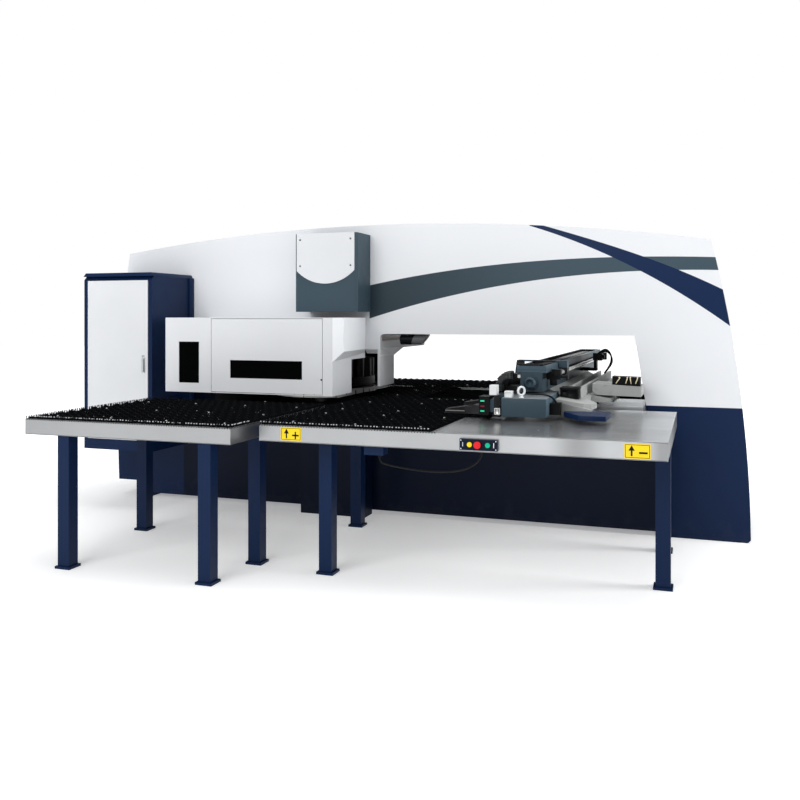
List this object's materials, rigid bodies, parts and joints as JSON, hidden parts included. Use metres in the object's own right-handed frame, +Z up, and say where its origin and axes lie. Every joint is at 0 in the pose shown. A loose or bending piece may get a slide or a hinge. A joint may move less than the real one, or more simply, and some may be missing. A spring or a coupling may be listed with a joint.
{
  "type": "cnc turret punch press",
  "caption": "CNC turret punch press: closed O-frame, covered turrets under a ram head, clamp carriage on a cross beam, brush tables, push-button box and electrical cabinet.",
  "frame": {"origin": "middle of the floor area that the machine covers, on the floor", "axes": "+X to the right along the frame seen from the operator's side, +Y from the operator's side to the rear, +Z up"},
  "size_m": [5.3438, 4.257, 2.3545],
  "materials": {
    "white_paint": "satin",
    "navy_paint": "satin",
    "slate_paint": "satin",
    "black_paint": "matt",
    "stainless": "brushed",
    "ground_steel": "ground",
    "casting": "painted light grey",
    "black_plastic": "matt",
    "window_black": "gloss",
    "white_plastic": "matt",
    "yellow_plastic": "gloss",
    "red_plastic": "gloss",
    "green_plastic": "gloss",
    "cable_rubber": "matt"
  },
  "bodies": {
    "machine": {"frame": "white_paint", "ram_cover": "slate_paint", "ram_shield": "white_paint", "ram_bush": "ground_steel", "upper_shaft": "ground_steel", "lower_shaft": "ground_steel", "turret_cover": "white_paint", "side_window": "window_black", "die_hoods": "white_paint", "nose_panel": "white_paint", "work_lamp": "black_paint", "rear_guard": "white_paint", "cabinet_body": "navy_paint", "cabinet_drives": "black_plastic", "left_table": "stainless", "centre_table": "stainless", "rear_table": "stainless", "throat_deck": "black_paint", "brush_strips": "black_plastic", "ball_casters": "ground_steel", "table_stands": "navy_paint", "rail_base": "casting", "rail_covers": "stainless", "guide_rails": "ground_steel", "lower_motor": "black_paint", "button_box": "navy_paint", "junction_box": "navy_paint", "button_cable": "cable_rubber"},
    "saddle": {"saddle": "casting", "saddle_foot": "navy_paint", "saddle_runners": "ground_steel", "cable_duct": "casting", "cross_beam": "slate_paint", "beam_rails": "ground_steel", "motor_cover": "slate_paint", "lifting_eye": "white_paint", "screw_bearings": "black_paint", "energy_chain": "black_plastic", "hose_tray": "casting", "hose_box": "black_plastic"},
    "carriage": {"carriage": "slate_paint", "clamps": "ground_steel", "valve_box": "black_plastic", "limit_boxes": "white_plastic"},
    "front_jaw": {"front_jaw": "ground_steel"},
    "rear_jaw": {"rear_jaw": "ground_steel"},
    "upper_screw": {"upper_screw": "ground_steel"},
    "lower_screw": {"lower_screw": "ground_steel"},
    "upper_turret": {"upper_turret": "ground_steel", "punches": "ground_steel"},
    "lower_turret": {"lower_turret": "ground_steel", "dies": "ground_steel"},
    "ram": {"ram": "ground_steel"},
    "turret_door": {"turret_door": "white_paint", "door_window": "window_black"},
    "cabinet_door": {"cabinet_door": "white_paint"},
    "cabinet_lock": {"cabinet_lock": "stainless"},
    "start_button": {"start_button": "yellow_plastic"},
    "stop_button": {"stop_button": "red_plastic"},
    "reset_button": {"reset_button": "green_plastic"}
  },
  "joints": [
    {"name": "saddle_slide", "type": "slide", "parent": "machine", "child": "saddle", "axis": [1, 0, 0], "range_m": [-0.98, 0]},
    {"name": "carriage_slide", "type": "slide", "parent": "saddle", "child": "carriage", "axis": [0, 1, 0], "range_m": [0, 2.3]},
    {"name": "upper_screw_turn", "type": "hinge", "parent": "saddle", "child": "upper_screw", "pos_m": [1.425, -0.8465, 1.223], "axis": [0, 1, 0], "range_deg": [-20, 20720]},
    {"name": "lower_screw_turn", "type": "hinge", "parent": "machine", "child": "lower_screw", "pos_m": [0.18, 0.5935, 0.865], "axis": [1, 0, 0], "range_deg": [-8840, 20]},
    {"name": "upper_turret_turn", "type": "hinge", "parent": "machine", "child": "upper_turret", "pos_m": [-0.887, 0.5935, 1.01], "axis": [0, 0, 1], "continuous": true},
    {"name": "lower_turret_turn", "type": "hinge", "parent": "machine", "child": "lower_turret", "pos_m": [-0.887, 0.5935, 0.915], "axis": [0, 0, 1], "continuous": true},
    {"name": "ram_slide", "type": "slide", "parent": "machine", "child": "ram", "axis": [0, 0, 1], "range_m": [-0.037, 0]},
    {"name": "front_jaw_tilt", "type": "hinge", "parent": "carriage", "child": "front_jaw", "pos_m": [0.905, -1.0665, 1.0015], "axis": [0, 1, 0], "range_deg": [0, 8]},
    {"name": "rear_jaw_tilt", "type": "hinge", "parent": "carriage", "child": "rear_jaw", "pos_m": [0.905, -0.5865, 1.0015], "axis": [0, 1, 0], "range_deg": [0, 8]},
    {"name": "turret_door_swing", "type": "hinge", "parent": "machine", "child": "turret_door", "pos_m": [-1.287, -0.6615, 1], "axis": [0, 0, 1], "range_deg": [-100, 0]},
    {"name": "cabinet_door_swing", "type": "hinge", "parent": "machine", "child": "cabinet_door", "pos_m": [-2.5253, -0.6125, 1], "axis": [0, 0, 1], "range_deg": [-110, 0]},
    {"name": "cabinet_lock_turn", "type": "hinge", "parent": "cabinet_door", "child": "cabinet_lock", "pos_m": [-1.969, -0.6185, 1.27], "axis": [0, 1, 0], "range_deg": [0, 90]},
    {"name": "start_button_push", "type": "slide", "parent": "machine", "child": "start_button", "axis": [0, 1, 0], "range_m": [0, 0.005], "stiffness_N_per_m": 600},
    {"name": "stop_button_push", "type": "slide", "parent": "machine", "child": "stop_button", "axis": [0, 1, 0], "range_m": [0, 0.005], "stiffness_N_per_m": 600},
    {"name": "reset_button_push", "type": "slide", "parent": "machine", "child": "reset_button", "axis": [0, 1, 0], "range_m": [0, 0.005], "stiffness_N_per_m": 600}
  ],
  "couplings": [
    {"joint": "upper_screw_turn", "follows": "carriage_slide", "rad_per_m": 157.08},
    {"joint": "lower_screw_turn", "follows": "saddle_slide", "rad_per_m": 157.08},
    {"joint": "lower_turret_turn", "follows": "upper_turret_turn", "ratio": 1},
    {"joint": "rear_jaw_tilt", "follows": "front_jaw_tilt", "ratio": 1}
  ]
}
